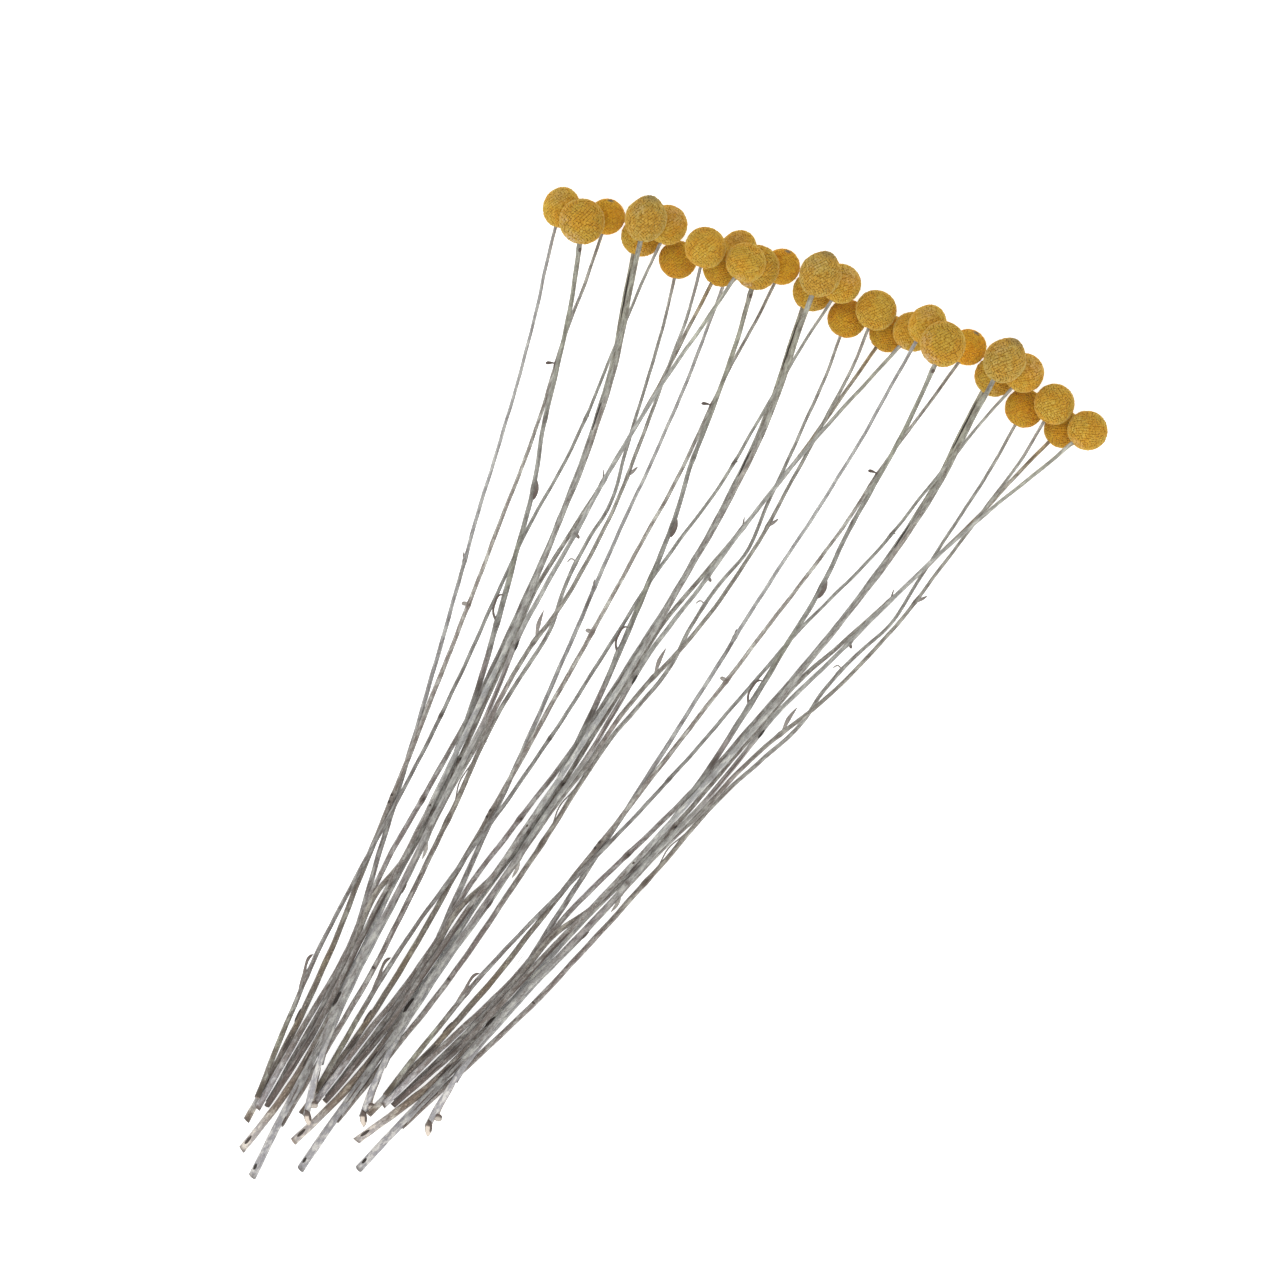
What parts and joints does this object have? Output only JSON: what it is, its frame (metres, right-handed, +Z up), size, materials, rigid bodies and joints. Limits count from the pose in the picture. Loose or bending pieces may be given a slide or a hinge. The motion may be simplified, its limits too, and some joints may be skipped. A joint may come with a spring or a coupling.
{
  "type": "dried billy buttons",
  "caption": "Fanned bunch of dried globe-headed flowers on long bare woolly stems, mustard yellow heads, laid down flat, for a dried arrangement.",
  "frame": {"origin": "bottom centre of the bunch as it lies, on the surface", "axes": "+Y along the middle spray towards the flower heads, +Z up, -Y towards the cut feet of the stems"},
  "size_m": [0.324, 0.5926, 0.0789],
  "materials": {
    "florets_mustard": "matte, velvety florets",
    "florets_ochre": "matte, velvety florets, a warmer yellow",
    "florets_olive": "matte, velvety florets, greyer towards the crown",
    "stem_grey": "matte, woolly, finely ridged",
    "stem_brown": "matte, finely ridged, browner"
  },
  "bodies": {
    "root": {"stem_1a": "stem_grey", "head_1a": "florets_mustard", "stem_1b": "stem_grey", "head_1b": "florets_mustard", "stem_1c": "stem_grey", "head_1c": "florets_ochre", "stem_1d": "stem_grey", "head_1d": "florets_mustard", "stem_1e": "stem_grey", "head_1e": "florets_olive", "stem_1f": "stem_grey", "head_1f": "florets_mustard", "stem_1g": "stem_grey", "head_1g": "florets_ochre", "stem_1h": "stem_grey", "head_1h": "florets_mustard", "stem_1i": "stem_brown", "head_1i": "florets_ochre", "stem_1j": "stem_grey", "head_1j": "florets_mustard", "stem_2a": "stem_grey", "head_2a": "florets_mustard", "stem_2b": "stem_grey", "head_2b": "florets_mustard", "stem_2c": "stem_grey", "head_2c": "florets_ochre", "stem_2d": "stem_grey", "head_2d": "florets_mustard", "stem_2e": "stem_grey", "head_2e": "florets_olive", "stem_2f": "stem_grey", "head_2f": "florets_mustard", "stem_2g": "stem_grey", "head_2g": "florets_ochre", "stem_2h": "stem_grey", "head_2h": "florets_mustard", "stem_2i": "stem_brown", "head_2i": "florets_ochre", "stem_2j": "stem_grey", "head_2j": "florets_mustard", "stem_3a": "stem_grey", "head_3a": "florets_mustard", "stem_3b": "stem_grey", "head_3b": "florets_mustard", "stem_3c": "stem_grey", "head_3c": "florets_ochre", "stem_3d": "stem_grey", "head_3d": "florets_mustard", "stem_3e": "stem_grey", "head_3e": "florets_olive", "stem_3f": "stem_grey", "head_3f": "florets_mustard", "stem_3g": "stem_grey", "head_3g": "florets_ochre", "stem_3h": "stem_grey", "head_3h": "florets_mustard", "stem_3i": "stem_brown", "head_3i": "florets_ochre", "stem_3j": "stem_grey", "head_3j": "florets_mustard"}
  },
  "joints": []
}
